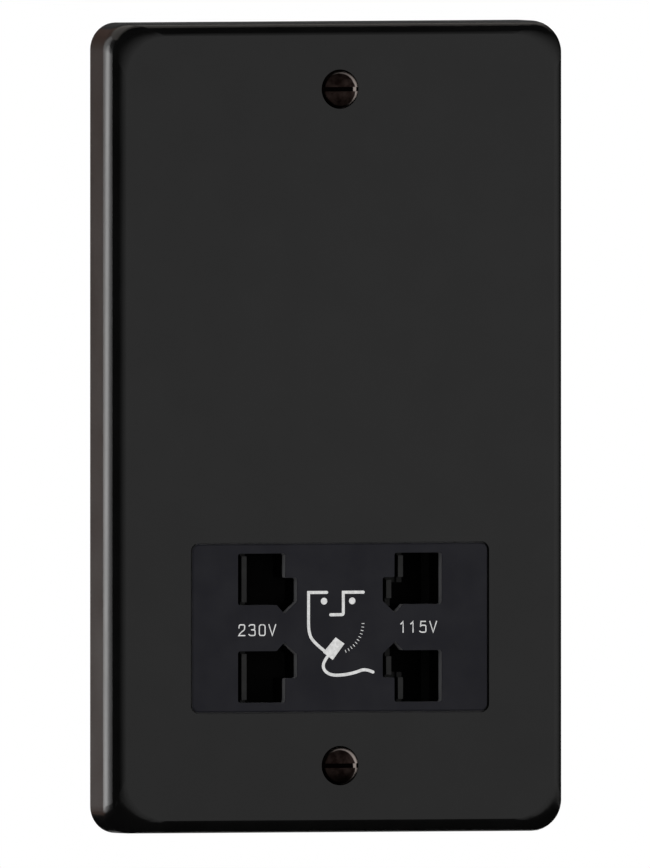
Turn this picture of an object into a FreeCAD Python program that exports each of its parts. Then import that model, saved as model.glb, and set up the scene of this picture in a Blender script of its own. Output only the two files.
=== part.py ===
import FreeCAD, Part
import math
import os

# Dual-voltage shaver supply unit for a wall box: pressed metal front plate, moulded insert with
# four profiled apertures, two sprung shutters, and an isolating transformer in the case behind.
# Millimetres. X is to the right, -Y faces the room, +Y goes into the wall, Z is up.
# The origin is midway between the two fixing screws, on the wall plane.

# Front plate
PLATE_WIDTH = 86.4
PLATE_HEIGHT = 144.5
PLATE_DEPTH = 11.8
SHEET = 1.2
EDGE_INSET = 2.3
LEAD_ANGLE = 10.0
ROLL_RADIUS = 2.0
SIDE_CORNER_RADIUS = 4.8
FLAT_CORNER_RADIUS = 7.5
LEAD_STEPS = 4
ROLL_STEPS = 10

# Fixing screws to the wall box. Their distance from the ends gives the standard 120.6 centres.
FIXING_END_DISTANCE = 11.95
THREAD_RADIUS = 1.75
NECK_RADIUS = 1.4
HEAD_RADIUS = 3.4
HEAD_RIM = 0.25
HEAD_EDGE = 0.55
CROWN_ANGLE = 16.0
DRIVE_SLOT_WIDTH = 0.8
DRIVE_SLOT_DEPTH = 1.35
FIXING_SCREW_LENGTH = 30.0
THREAD_START = 4.8
HEAD_CLEARANCE = 0.12
NECK_CLEARANCE = 0.35
DIMPLE_WALL = 1.0

# Insert with the apertures
INSERT_END_DISTANCE = 21.6
INSERT_END_WALL = 1.65
INSERT_CORNER = 1.25
INSERT_GAP = 0.3
INSERT_EDGE = 0.3
SKIN = 1.75
FLANGE_MARGIN = 1.7
FLANGE_THICKNESS = 1.6
BOSS_RADIUS = 2.2
BOSS_GAP = 0.6

# Aperture outline, drawn for one corner and mirrored to the other three
APERTURE_SIDE_ROOM = 3.3
APERTURE_PITCH = 17.4
APERTURE_WIDTH = 9.1
APERTURE_HEIGHT = 9.2
TAB_REACH = 2.25
TAB_START = 4.35
TAB_LENGTH = 4.25
POINT_DROP = 1.6
POINT_INSET = 0.2
POINT_RUN = 1.5
APERTURE_CORNER = 0.45

# Inner guide behind the insert, whose ribs stand in the apertures
GUIDE_PLATE = 1.5
GUIDE_WALL = 0.9
GUIDE_DEPTH = 6.2
RIB_INSET = 1.05
RIB_THICKNESS = 0.95
RIB_RECESS = 0.95
RIB_END_GAP = 0.5
WEB_RECESS = 2.4
GUIDE_FIT = 0.1

# Moulded frame behind the plate
FRAME_PANEL = 3.0
FRAME_SKIRT = 1.6
FRAME_EDGE_GAP = 0.5
FRAME_CORNER = 6.0
FRAME_REAR_GAP = 0.4
FRAME_WINDOW_MARGIN = 1.85
WINDOW_END_ROOM = 1.17
WINDOW_FIT = 0.15

# Shutters and their springs
SHUTTER_GAP = 0.3
SHUTTER_THICKNESS = 6.2
SHUTTER_COVER = 0.15
SHUTTER_LIP = 1.7
SHUTTER_END_OVERLAP = 0.1
WEB_HEIGHT = 4.8
SPRING_RADIUS = 1.7
SPRING_WIRE = 0.4
SPRING_TURNS = 9
SPRING_CLEARANCE = 0.35
POCKET_END = 2.0
BRIDGE_WIDTH = 1.5
BRIDGE_THICKNESS = 0.4
BRIDGE_END_GAP = 0.2
SWITCH_RIVET_RADIUS = 0.9
SWITCH_RIVET_SPACING = 2.6
SWITCH_RIVET_TAIL = 1.0

# Contact carrier, its cover and the sprung contacts
CARRIER_WALL_OVERLAP = 1.5
CARRIER_FLOOR = 2.0
PARTITION = 1.0
CONTACT_DEPTH = 10.8
CONTACT_BLOCK_WALL = 2.4
COVER_THICKNESS = 1.6
CONTACT_STRIP = 0.5
CONTACT_WIDTH = 6.0
CONTACT_SPREAD = 7.2
CONTACT_THROAT = 4.4
CONTACT_MOUTH = 6.2
CONTACT_TAIL = 3.0
TAIL_WIDTH = 3.0
TAIL_FIT = 0.15
CARRIER_SIDE_ROOM = 1.45

# Self-tapping screws
SCREW_RADIUS = 1.25
SCREW_HEAD_RADIUS = 2.2
SCREW_HEAD_HEIGHT = 1.6
SCREW_CLEARANCE = 0.06
SCREW_TIP_WALL = 0.4
SCREW_SLOT = 0.6

# Transformer, an EI core with a split bobbin
CORE_STACK = 20.0
CORE_SIDE_ROOM = 4.0
CORE_STEP_ROOM = 12.73
CORE_HOLE_RADIUS = 1.8
COIL_FRONT_ROOM = 0.8
BOBBIN_FIT = 0.2
BOBBIN_WALL = 1.1
BOBBIN_CORNER = 1.0
WINDING_INSET = 0.5
WINDING_CORNER = 3.0
CORE_SCREW_RADIUS = 1.65
CORE_SCREW_HEAD_RADIUS = 2.95
CUTOUT_WIDTH = 12.0
CUTOUT_END_ROOM = 1.2
CUTOUT_THICKNESS = 3.0

# Rear case
CASE_FIXING_ROOM = 14.8
CASE_WALL = 2.0
CASE_TOP_ROOM = 3.0
CASE_CORNER = 3.0
CASE_INNER_CORNER = 1.0
CASE_SIDE_ROOM = 0.5
CASE_STEP_ROOM = 1.6
PILLAR_RADIUS = 3.6
PILLAR_LENGTH = 3.5
HUMP_ROOM = 0.6
EAR_RADIUS = 2.7
EAR_THICKNESS = 2.5
EAR_OFFSET = 2.7
EAR_SKIRT_GAP = 0.4
EAR_END_DISTANCE = 9.0
TAIL_ROOM = 0.4

# Supply terminals on the back of the case
TERMINAL_PITCH = 11.0
TERMINAL_WAYS = 3
TERMINAL_HEIGHT = 14.0
TERMINAL_DEPTH = 13.0
TERMINAL_SIDE = 2.2
CLAMP_WIDTH = 7.2
CLAMP_HEIGHT = 9.0
CLAMP_DEPTH = 8.0
CLAMP_FIT = 0.15
CABLE_RADIUS = 1.9
ENTRY_RADIUS = 2.4
CLAMP_SCREW_RADIUS = 1.5
CLAMP_SCREW_HEAD = 2.3
CLAMP_SCREW_STAND = 3.0

# Earth terminal on the frame
EARTH_WIDTH = 5.0
EARTH_HEIGHT = 8.0
EARTH_DEPTH = 6.6
EARTH_TONGUE = 3.0
EARTH_EAR_DISTANCE = 30.5

# Levels along Y, from the front face back to the rear of the case
front_y = -PLATE_DEPTH
sheet_back = front_y + SHEET
flange_back = sheet_back + FLANGE_THICKNESS
guide_front = front_y + SKIN
guide_plate_back = guide_front + GUIDE_PLATE
guide_back = front_y + GUIDE_DEPTH
panel_back = sheet_back + FRAME_PANEL
shutter_front = guide_back + SHUTTER_GAP
shutter_back = shutter_front + SHUTTER_THICKNESS
floor_front = shutter_back + SHUTTER_GAP
floor_back = floor_front + CARRIER_FLOOR
pocket_back = floor_back + CONTACT_DEPTH
cover_back = pocket_back + COVER_THICKNESS

# The plate's edge leans in on a large radius before it rolls over on a small one
lead_turn = math.radians(LEAD_ANGLE)
lead_radius = (EDGE_INSET - ROLL_RADIUS * math.cos(lead_turn)) / (1 - math.cos(lead_turn))

# Widths, from the plate inwards: frame, case, contact carrier, window, insert, apertures
frame_half_width = PLATE_WIDTH / 2 - EDGE_INSET - FRAME_EDGE_GAP
ear_x = frame_half_width - FRAME_SKIRT - EAR_SKIRT_GAP - EAR_RADIUS
case_half_width = ear_x - EAR_OFFSET
case_inner_half = case_half_width - CASE_WALL
carrier_half_width = case_inner_half - CARRIER_SIDE_ROOM
window_half_width = carrier_half_width - CARRIER_WALL_OVERLAP
flange_half_width = window_half_width + FRAME_WINDOW_MARGIN
insert_half_width = flange_half_width - FLANGE_MARGIN
boss_x = window_half_width - BOSS_RADIUS - WINDOW_FIT
guide_half_width = boss_x - BOSS_RADIUS - BOSS_GAP - GUIDE_FIT
cavity_half_width = guide_half_width + GUIDE_FIT
aperture_outer = guide_half_width - APERTURE_SIDE_ROOM
aperture_offset = aperture_outer - APERTURE_WIDTH / 2
aperture_inner = aperture_offset - APERTURE_WIDTH / 2 - TAB_REACH
block_half_width = aperture_outer + CONTACT_BLOCK_WALL

# Heights, from the apertures outwards, about the insert's own centre
aperture_top = APERTURE_PITCH / 2 + APERTURE_HEIGHT / 2
aperture_low = APERTURE_PITCH / 2 - APERTURE_HEIGHT / 2
insert_half_height = aperture_top + INSERT_END_WALL
flange_half_height = insert_half_height + FLANGE_MARGIN
guide_half_height = aperture_top + GUIDE_WALL
window_half_height = guide_half_height + WINDOW_END_ROOM
cavity_half_height = guide_half_height + SHUTTER_GAP + WINDOW_FIT
carrier_half_height = window_half_height + CARRIER_WALL_OVERLAP
boss_z = guide_half_height - BOSS_RADIUS
block_half_height = aperture_top + CONTACT_BLOCK_WALL

# Heights on the plate, from its two ends inwards
insert_z = -PLATE_HEIGHT / 2 + INSERT_END_DISTANCE + insert_half_height
fixing_z = PLATE_HEIGHT / 2 - FIXING_END_DISTANCE

# Shutters, each free to slide until it meets the wall between the two sides
shutter_inner = aperture_inner - SHUTTER_COVER
shutter_outer = aperture_outer + SHUTTER_END_OVERLAP
shutter_travel = shutter_inner - PARTITION / 2 - SHUTTER_GAP


def vec(x, y, z):
    return FreeCAD.Vector(x, y, z)


def box(x0, x1, y0, y1, z0, z1):
    """A block between three pairs of limits."""
    return Part.makeBox(x1 - x0, y1 - y0, z1 - z0, vec(x0, y0, z0))


def rod(radius, x, y0, y1, z):
    """A round bar or hole along Y."""
    return Part.makeCylinder(radius, y1 - y0, vec(x, y0, z), vec(0, 1, 0))


def rounded_outline(points, radii, y):
    """A closed outline in a plane across Y, with an arc at each corner that has a radius."""
    count = len(points)
    ends = []
    for i, (px, pz) in enumerate(points):
        corner = vec(px, y, pz)
        before = vec(points[i - 1][0], y, points[i - 1][1]) - corner
        after = vec(points[(i + 1) % count][0], y, points[(i + 1) % count][1]) - corner
        before.normalize()
        after.normalize()
        half = before.getAngle(after) / 2
        reach = radii[i] / math.tan(half)
        middle = before + after
        middle.normalize()
        centre = corner + middle * (radii[i] / math.sin(half))
        ends.append((corner + before * reach, centre - middle * radii[i], corner + after * reach))
    edges = []
    for i, (start, top, finish) in enumerate(ends):
        if radii[i] > 0:
            edges.append(Part.Arc(start, top, finish).toShape())
        edges.append(Part.LineSegment(finish, ends[(i + 1) % count][0]).toShape())
    return Part.Wire(edges)


def rounded_rectangle(half_width, half_height, radius, y, z=0.0):
    """A rectangle with rounded corners, centred on x = 0."""
    points = [
        (-half_width, z - half_height),
        (half_width, z - half_height),
        (half_width, z + half_height),
        (-half_width, z + half_height),
    ]
    return rounded_outline(points, [radius] * 4, y)


def slab(wire, depth):
    """A flat piece of the outline's shape, going back from its plane."""
    return Part.Face(wire).extrude(vec(0, depth, 0))


def corner_places(x, z, centre_z=0.0):
    """The four corners of a rectangle centred on x = 0."""
    return [(sx * x, centre_z + sz * z) for sx in (-1, 1) for sz in (-1, 1)]


def fillet_edges(shape, radius, wanted):
    chosen = [edge for edge in shape.Edges if wanted(edge)]
    return shape.makeFillet(radius, chosen)


def runs_along(edge, axis):
    """True for a straight edge that runs along the axis."""
    if not isinstance(edge.Curve, Part.Line):
        return False
    return abs(abs(edge.tangentAt(edge.FirstParameter).dot(axis)) - 1) < 1e-6


def lies_at(edge, y):
    """True for an edge that lies wholly in the plane at that y."""
    limits = edge.BoundBox
    return abs(limits.YMin - y) < 1e-6 and abs(limits.YMax - y) < 1e-6


def export(name, shape):
    solids = shape.Solids
    result = solids[0] if len(solids) == 1 else Part.makeCompound(solids)
    result.exportStep("parts/" + name + ".step")


# The pan: straight sides that lean in and roll over, with corners that widen to the flat front
def pan(inset, front, back):
    half_width = PLATE_WIDTH / 2 - inset
    half_height = PLATE_HEIGHT / 2 - inset
    corner = SIDE_CORNER_RADIUS - inset
    flat_corner = FLAT_CORNER_RADIUS - inset
    lead = lead_radius - inset
    roll = ROLL_RADIUS - inset
    lead_inset = lead * (1 - math.cos(lead_turn))
    lead_rise = lead * math.sin(lead_turn)
    whole_inset = lead_inset + roll * math.cos(lead_turn)
    side_front = front + lead_rise + roll * (1 - math.sin(lead_turn))

    def section(shrink, rise):
        radius = corner + (flat_corner - corner) * shrink / whole_inset
        return rounded_rectangle(half_width - shrink, half_height - shrink, radius, side_front - rise)

    leaning = []
    for step in range(LEAD_STEPS + 1):
        turn = lead_turn * step / LEAD_STEPS
        leaning.append(section(lead * (1 - math.cos(turn)), lead * math.sin(turn)))
    rolled = []
    for step in range(ROLL_STEPS + 1):
        turn = lead_turn + (math.pi / 2 - lead_turn) * step / ROLL_STEPS
        shrink = lead_inset + roll * (math.cos(lead_turn) - math.cos(turn))
        rolled.append(section(shrink, lead_rise + roll * (math.sin(turn) - math.sin(lead_turn))))
    sides = slab(rounded_rectangle(half_width, half_height, corner, side_front), back - side_front)
    return sides.fuse(Part.makeLoft(leaning, True, False)).fuse(Part.makeLoft(rolled, True, False))


def screw_cone(radius, front, tip_radius):
    """A 90 degree countersink whose wide end is at the front."""
    depth = radius - tip_radius
    return Part.makeCone(radius, tip_radius, depth, vec(0, front, 0), vec(0, 1, 0))


def dimple_hole():
    """The countersunk hole in the plate, also used to clear the screw's neck."""
    wide = HEAD_RADIUS + HEAD_CLEARANCE
    narrow = NECK_RADIUS + NECK_CLEARANCE
    rim = rod(wide, 0, front_y - 1, front_y + HEAD_RIM, 0)
    cone = screw_cone(wide, front_y + HEAD_RIM, narrow)
    return rim.fuse(cone).fuse(rod(narrow, 0, front_y, panel_back, 0))


def dimple_wall():
    """The formed metal behind the sheet round a countersunk hole."""
    wide = HEAD_RADIUS + HEAD_CLEARANCE + DIMPLE_WALL
    narrow = NECK_RADIUS + NECK_CLEARANCE + DIMPLE_WALL
    return screw_cone(wide, front_y + HEAD_RIM, narrow)


def fixing_places():
    return [vec(0, 0, sign * fixing_z) for sign in (-1, 1)]


def front_plate():
    outer = pan(0, front_y, 0)
    inner = pan(SHEET, sheet_back, SHEET)
    shell = outer.cut(inner)
    window = rounded_rectangle(
        insert_half_width + INSERT_GAP, insert_half_height + INSERT_GAP,
        INSERT_CORNER + INSERT_GAP, front_y - 1, insert_z,
    )
    shell = shell.cut(slab(window, SHEET + 2))
    for place in fixing_places():
        shell = shell.fuse(dimple_wall().translated(place))
        shell = shell.cut(dimple_hole().translated(place))
    return shell


# The screws' heads: a shallow crown whose edge rounds over to the rim
crown_turn = math.radians(CROWN_ANGLE)
crown_radius = HEAD_EDGE + (HEAD_RADIUS - HEAD_EDGE) / math.sin(crown_turn)
head_rise = HEAD_EDGE * math.cos(crown_turn) + crown_radius * (1 - math.cos(crown_turn))
head_front = front_y - head_rise


def crown_point(turn):
    return vec(crown_radius * math.sin(turn), head_front + crown_radius * (1 - math.cos(turn)), 0)


def head_edge_point(turn):
    return vec(HEAD_RADIUS - HEAD_EDGE * (1 - math.sin(turn)), front_y - HEAD_EDGE * math.cos(turn), 0)


def fixing_screws():
    tip = front_y + FIXING_SCREW_LENGTH
    thread_y = front_y + THREAD_START
    tip_taper = THREAD_RADIUS / 3
    top = crown_point(0)
    shoulder = crown_point(crown_turn)
    rim = head_edge_point(math.pi / 2)
    profile = [
        rim,
        vec(HEAD_RADIUS, front_y + HEAD_RIM, 0),
        vec(NECK_RADIUS, front_y + HEAD_RIM + HEAD_RADIUS - NECK_RADIUS, 0),
        vec(NECK_RADIUS, thread_y, 0),
        vec(THREAD_RADIUS, thread_y, 0),
        vec(THREAD_RADIUS, tip - tip_taper, 0),
        vec(THREAD_RADIUS - tip_taper, tip, 0),
        vec(0, tip, 0),
        top,
    ]
    edges = [
        Part.Arc(top, crown_point(crown_turn / 2), shoulder).toShape(),
        Part.Arc(shoulder, head_edge_point((crown_turn + math.pi / 2) / 2), rim).toShape(),
    ]
    for start, finish in zip(profile[:-1], profile[1:]):
        edges.append(Part.LineSegment(start, finish).toShape())
    screw = Part.Face(Part.Wire(edges)).revolve(vec(0, 0, 0), vec(0, 1, 0), 360)
    slot_half = DRIVE_SLOT_WIDTH / 2
    slot = box(
        -HEAD_RADIUS, HEAD_RADIUS, head_front - 1, head_front + DRIVE_SLOT_DEPTH,
        -slot_half, slot_half,
    )
    screw = screw.cut(slot)
    return Part.makeCompound([screw.translated(place) for place in fixing_places()])


def aperture_points():
    """One aperture about its own centre: first number towards the plate's middle line, second
    towards the middle of the pair."""
    half_width = APERTURE_WIDTH / 2
    half_height = APERTURE_HEIGHT / 2
    tab_edge = half_width + TAB_REACH
    tab_top = TAB_START - half_height
    point = half_width - POINT_INSET
    return [
        (-half_width, -half_height),
        (half_width, -half_height),
        (half_width, tab_top),
        (tab_edge, tab_top),
        (tab_edge, tab_top + TAB_LENGTH),
        (point, half_height + POINT_DROP),
        (point - POINT_RUN, half_height),
        (-half_width, half_height),
    ]


def place_point(side, level, inward, down):
    """From an aperture's own directions to x and z."""
    x = side * (aperture_offset - inward)
    z = insert_z + level * (APERTURE_PITCH / 2 - down)
    return (x, z)


def aperture_wire(side, level, y):
    points = [place_point(side, level, u, v) for u, v in aperture_points()]
    round_corner = APERTURE_CORNER
    sharp = APERTURE_CORNER / 2
    radii = [round_corner, round_corner, sharp, round_corner, round_corner, sharp, sharp, round_corner]
    return rounded_outline(points, radii, y)


def local_box(side, level, u0, u1, y0, y1, v0, v1):
    """A block given in an aperture's own directions."""
    x0, z0 = place_point(side, level, u0, v0)
    x1, z1 = place_point(side, level, u1, v1)
    return box(min(x0, x1), max(x0, x1), y0, y1, min(z0, z1), max(z0, z1))


def all_apertures():
    return [(side, level) for side in (-1, 1) for level in (-1, 1)]


def socket_face():
    """The insert: flush face, flange behind the sheet, recess for the guide and four bosses."""
    face = slab(
        rounded_rectangle(insert_half_width, insert_half_height, INSERT_CORNER, front_y, insert_z),
        SHEET + FLANGE_THICKNESS,
    )
    face = fillet_edges(face, INSERT_EDGE, lambda edge: lies_at(edge, front_y))
    flange = slab(
        rounded_rectangle(
            flange_half_width, flange_half_height, INSERT_CORNER + FLANGE_MARGIN, sheet_back, insert_z
        ),
        FLANGE_THICKNESS,
    )
    body = face.fuse(flange)
    for side, level in all_apertures():
        body = body.cut(slab(aperture_wire(side, level, front_y - 1), SKIN + 2))
    recess = rounded_rectangle(
        guide_half_width + GUIDE_FIT, guide_half_height + GUIDE_FIT, INSERT_CORNER, guide_front, insert_z
    )
    body = body.cut(slab(recess, flange_back - guide_front + 1))
    for x, z in corner_places(boss_x, boss_z, insert_z):
        body = body.fuse(rod(BOSS_RADIUS, x, flange_back - SCREW_TIP_WALL, panel_back, z))
        body = body.cut(rod(SCREW_RADIUS + SCREW_CLEARANCE, x, guide_front, panel_back + 1, z))
    return body


def guide_ribs(side, level):
    """Upright ribs at the left of one aperture, on the tab's side at the 115 V pair."""
    half_width = APERTURE_WIDTH / 2
    half_height = APERTURE_HEIGHT / 2
    tab_edge = half_width + TAB_REACH
    tab_top = TAB_START - half_height
    rib_front = front_y + RIB_RECESS
    web_front = front_y + WEB_RECESS
    outer = (-half_width + RIB_INSET, -half_width + RIB_INSET + RIB_THICKNESS)
    inner = (half_width - RIB_INSET - RIB_THICKNESS, half_width - RIB_INSET)
    tab = (tab_edge - RIB_INSET - RIB_THICKNESS, tab_edge - RIB_INSET)
    top = -half_height
    tab_end = tab_top + TAB_LENGTH
    web_end = tab_top + RIB_THICKNESS
    outer_rib = [
        local_box(side, level, *outer, rib_front, guide_front, top + RIB_END_GAP, half_height - RIB_END_GAP),
        local_box(side, level, *outer, guide_front, guide_back, top - GUIDE_WALL, half_height + GUIDE_WALL),
    ]
    tab_ribs = [
        local_box(side, level, *inner, rib_front, guide_front, top + RIB_END_GAP, tab_top),
        local_box(side, level, *inner, guide_front, guide_back, top - GUIDE_WALL, web_end),
        local_box(side, level, inner[0], tab[1], web_front, guide_back, tab_top, web_end),
        local_box(side, level, *tab, rib_front, guide_front, tab_top + RIB_END_GAP, tab_end - RIB_END_GAP),
        local_box(side, level, *tab, guide_front, guide_back, tab_top, tab_end + GUIDE_WALL),
    ]
    pieces = outer_rib if side < 0 else tab_ribs
    return pieces[0].multiFuse(pieces[1:])


def pin_guide():
    """The inner moulding: a plate in the insert's recess with four sleeves and their ribs."""
    plate = slab(
        rounded_rectangle(guide_half_width, guide_half_height, INSERT_CORNER, guide_front, insert_z),
        GUIDE_PLATE,
    )
    sleeves = []
    for side, level in all_apertures():
        wall = Part.Face(aperture_wire(side, level, guide_front)).makeOffset2D(GUIDE_WALL)
        sleeves.append(wall.extrude(vec(0, guide_back - guide_front, 0)))
    body = plate.multiFuse(sleeves)
    for side, level in all_apertures():
        body = body.cut(slab(aperture_wire(side, level, guide_front - 1), guide_back - guide_front + 2))
        outline = slab(aperture_wire(side, level, front_y), guide_back - front_y)
        sleeve_block = Part.Face(aperture_wire(side, level, guide_front)).makeOffset2D(GUIDE_WALL / 2)
        sleeve_block = sleeve_block.extrude(vec(0, guide_back - guide_front, 0))
        ribs = guide_ribs(side, level)
        body = body.fuse(ribs.common(outline)).fuse(ribs.common(sleeve_block))
    return body


def mounting_frame():
    """The moulded tray behind the plate: panel against the sheet, skirt towards the wall."""
    half_width = frame_half_width
    half_height = PLATE_HEIGHT / 2 - EDGE_INSET - FRAME_EDGE_GAP
    skirt_back = -FRAME_REAR_GAP
    outline = rounded_rectangle(half_width, half_height, FRAME_CORNER, sheet_back)
    body = slab(outline, skirt_back - sheet_back)
    hollow = rounded_rectangle(
        half_width - FRAME_SKIRT, half_height - FRAME_SKIRT, FRAME_CORNER - FRAME_SKIRT, panel_back
    )
    body = body.cut(slab(hollow, skirt_back - panel_back + 1))
    pocket = rounded_rectangle(
        flange_half_width + WINDOW_FIT, flange_half_height + WINDOW_FIT,
        INSERT_CORNER + FLANGE_MARGIN + WINDOW_FIT, sheet_back - 1, insert_z,
    )
    body = body.cut(slab(pocket, FLANGE_THICKNESS + 1))
    window = rounded_rectangle(window_half_width, window_half_height, INSERT_CORNER, sheet_back, insert_z)
    body = body.cut(slab(window, FRAME_PANEL + 1))
    dimple_radius = HEAD_RADIUS + HEAD_CLEARANCE + DIMPLE_WALL + WINDOW_FIT
    for place in fixing_places():
        body = body.cut(rod(dimple_radius, 0, sheet_back - 1, panel_back + 1, place.z))
    hole_radius = SCREW_RADIUS + SCREW_CLEARANCE
    for x, z in ear_places():
        body = body.cut(rod(hole_radius, x, sheet_back + SCREW_TIP_WALL, panel_back + 1, z))
    tongue = earth_tongue(WINDOW_FIT)
    return body.cut(tongue)


def shutter_block(side):
    """A block on one side of the middle line, from the shutter's inner to its outer end."""
    def build(u0, u1, y0, y1, z0, z1):
        x0, x1 = sorted((side * u0, side * u1))
        return box(x0, x1, y0, y1, insert_z + z0, insert_z + z1)
    return build


def shutter(side):
    """A sliding block with two ramps for the pins and a pocket for its spring."""
    block = shutter_block(side)
    half_height = cavity_half_height - SHUTTER_GAP
    web = WEB_HEIGHT / 2
    body = block(shutter_inner, shutter_outer, shutter_front, shutter_back, -half_height, half_height)
    for level in (-1, 1):
        z0, z1 = sorted((level * web, level * (half_height + 1)))
        ramp = [
            vec(side * shutter_inner, shutter_front, insert_z + z0),
            vec(side * (shutter_outer + 1), shutter_front, insert_z + z0),
            vec(side * (shutter_outer + 1), shutter_back - SHUTTER_LIP, insert_z + z0),
            vec(side * shutter_inner, shutter_front, insert_z + z0),
        ]
        body = body.cut(Part.Face(Part.makePolygon(ramp)).extrude(vec(0, 0, z1 - z0)))
    pocket_half = SPRING_RADIUS + SPRING_CLEARANCE
    pocket_front = shutter_back - 2 * pocket_half
    pocket = block(
        shutter_inner - 1, shutter_outer - POCKET_END, pocket_front, shutter_back + 1,
        -pocket_half, pocket_half,
    )
    body = body.cut(pocket)
    return body.cut(bridge_contact(side))


def bridge_contact(side):
    """The strip on the shutter's back that closes the plug-operated switch."""
    block = shutter_block(side)
    outer = shutter_outer - BRIDGE_END_GAP
    return block(
        outer - BRIDGE_WIDTH, outer, shutter_back - BRIDGE_THICKNESS, shutter_back,
        -WEB_HEIGHT / 2, WEB_HEIGHT / 2,
    )


def shutter_spring(side):
    """A compression spring from the carrier's partition to the end of the shutter's pocket."""
    mean_radius = SPRING_RADIUS - SPRING_WIRE / 2
    start = PARTITION / 2 + SPRING_WIRE / 2
    finish = shutter_outer - POCKET_END - SPRING_WIRE / 2
    length = finish - start
    helix = Part.makeHelix(length / SPRING_TURNS, length, mean_radius)
    section = Part.makeCircle(SPRING_WIRE / 2, vec(mean_radius, 0, 0), vec(0, 1, 0))
    coil = Part.Wire(helix.Edges).makePipeShell([Part.Wire(section)], True, True)
    coil.rotate(vec(0, 0, 0), vec(0, 1, 0), 90 * side)
    coil.translate(vec(side * start, shutter_back - SPRING_RADIUS - SPRING_CLEARANCE, insert_z))
    return coil


def switch_contacts(side):
    """Two fixed rivets in the carrier's floor, under the strip when the shutter is open."""
    centre = shutter_outer - BRIDGE_END_GAP - BRIDGE_WIDTH / 2 - shutter_travel
    rivet_back = floor_back + SWITCH_RIVET_TAIL
    rivets = []
    for level in (-1, 1):
        z = insert_z + level * SWITCH_RIVET_SPACING / 2
        rivets.append(rod(SWITCH_RIVET_RADIUS, side * centre, floor_front, rivet_back, z))
    return Part.makeCompound(rivets)


def pocket_limits():
    """The contact pocket behind one aperture, in distances from the pair's centre."""
    return aperture_inner, aperture_outer, aperture_low, aperture_top


def contact_carrier():
    """The moulding behind the frame: shutter cavity in front, four contact pockets behind."""
    z = insert_z
    front = slab(
        rounded_rectangle(carrier_half_width, carrier_half_height, INSERT_CORNER, panel_back, z),
        floor_back - panel_back,
    )
    cavity = box(
        -cavity_half_width, cavity_half_width, panel_back - 1, floor_front,
        z - cavity_half_height, z + cavity_half_height,
    )
    body = front.cut(cavity)
    block = slab(
        rounded_rectangle(block_half_width, block_half_height, INSERT_CORNER, floor_back, z),
        pocket_back - floor_back,
    )
    body = body.fuse(block)
    partition = box(
        -PARTITION / 2, PARTITION / 2, guide_plate_back, floor_front,
        z - cavity_half_height, z + cavity_half_height,
    )
    body = body.fuse(partition)
    inner, outer, low, top = pocket_limits()
    for side, level in all_apertures():
        x0, x1 = sorted((side * inner, side * outer))
        z0, z1 = sorted((level * low, level * top))
        body = body.cut(box(x0, x1, floor_front - 1, pocket_back + 1, z + z0, z + z1))
    for side in (-1, 1):
        for rivet in switch_contacts(side).Solids:
            centre = rivet.CenterOfMass
            well = rod(
                SWITCH_RIVET_RADIUS + SCREW_CLEARANCE, centre.x, floor_front - 1,
                floor_back + SWITCH_RIVET_TAIL + SWITCH_RIVET_RADIUS, centre.z,
            )
            body = body.cut(well)
    for x, place_z in corner_places(boss_x, boss_z, z):
        body = body.cut(rod(SCREW_RADIUS + SCREW_CLEARANCE, x, panel_back - 1, floor_back + 1, place_z))
    return body


def tail_place(side, level):
    """Centre of a contact's solder tail."""
    return side * aperture_offset, insert_z + level * APERTURE_PITCH / 2


def contact(side, level):
    """A bent strip with two sprung arms that grip a pin, and a tail through the cover."""
    x, z = tail_place(side, level)
    strip = CONTACT_STRIP
    back = pocket_back - strip / 2
    front = floor_back + strip
    throat = front + (back - front) / 3
    arm = [
        vec(x - CONTACT_MOUTH / 2, front, z),
        vec(x - CONTACT_THROAT / 2, throat, z),
        vec(x - CONTACT_SPREAD / 2, back - strip, z),
        vec(x - CONTACT_SPREAD / 2, back, z),
    ]
    path = arm + [vec(2 * x - p.x, p.y, p.z) for p in reversed(arm)]
    bottom = vec(0, 0, -CONTACT_WIDTH / 2)
    pieces = []
    for start, finish in zip(path, path[1:]):
        along = finish - start
        across = vec(-along.y, along.x, 0).normalize() * (strip / 2)
        corners = [start + across, finish + across, finish - across, start - across, start + across]
        leaf = Part.Face(Part.makePolygon(corners)).extrude(vec(0, 0, CONTACT_WIDTH))
        pieces.append(leaf.translated(bottom))
        pieces.append(Part.makeCylinder(strip / 2, CONTACT_WIDTH, finish + bottom))
    tail = box(
        x - TAIL_WIDTH / 2, x + TAIL_WIDTH / 2, back, pocket_back + CONTACT_TAIL,
        z - strip / 2, z + strip / 2,
    )
    body = pieces[0].multiFuse(pieces[1:] + [tail])
    rear_limit = box(
        x - CONTACT_SPREAD, x + CONTACT_SPREAD, pocket_back, cover_back + CONTACT_TAIL,
        z - CONTACT_WIDTH, z + CONTACT_WIDTH,
    )
    return body.cut(rear_limit).fuse(tail.common(rear_limit)).removeSplitter()


def contact_cover():
    """The plate that closes the contact pockets, with a slot for each tail."""
    cover = slab(
        rounded_rectangle(block_half_width, block_half_height, INSERT_CORNER, pocket_back, insert_z),
        COVER_THICKNESS,
    )
    for side, level in all_apertures():
        x, z = tail_place(side, level)
        half_width = TAIL_WIDTH / 2 + TAIL_FIT
        half_height = CONTACT_STRIP / 2 + TAIL_FIT
        slot = box(
            x - half_width, x + half_width, pocket_back - 1, cover_back + 1,
            z - half_height, z + half_height,
        )
        cover = cover.cut(slot)
    return cover


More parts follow.
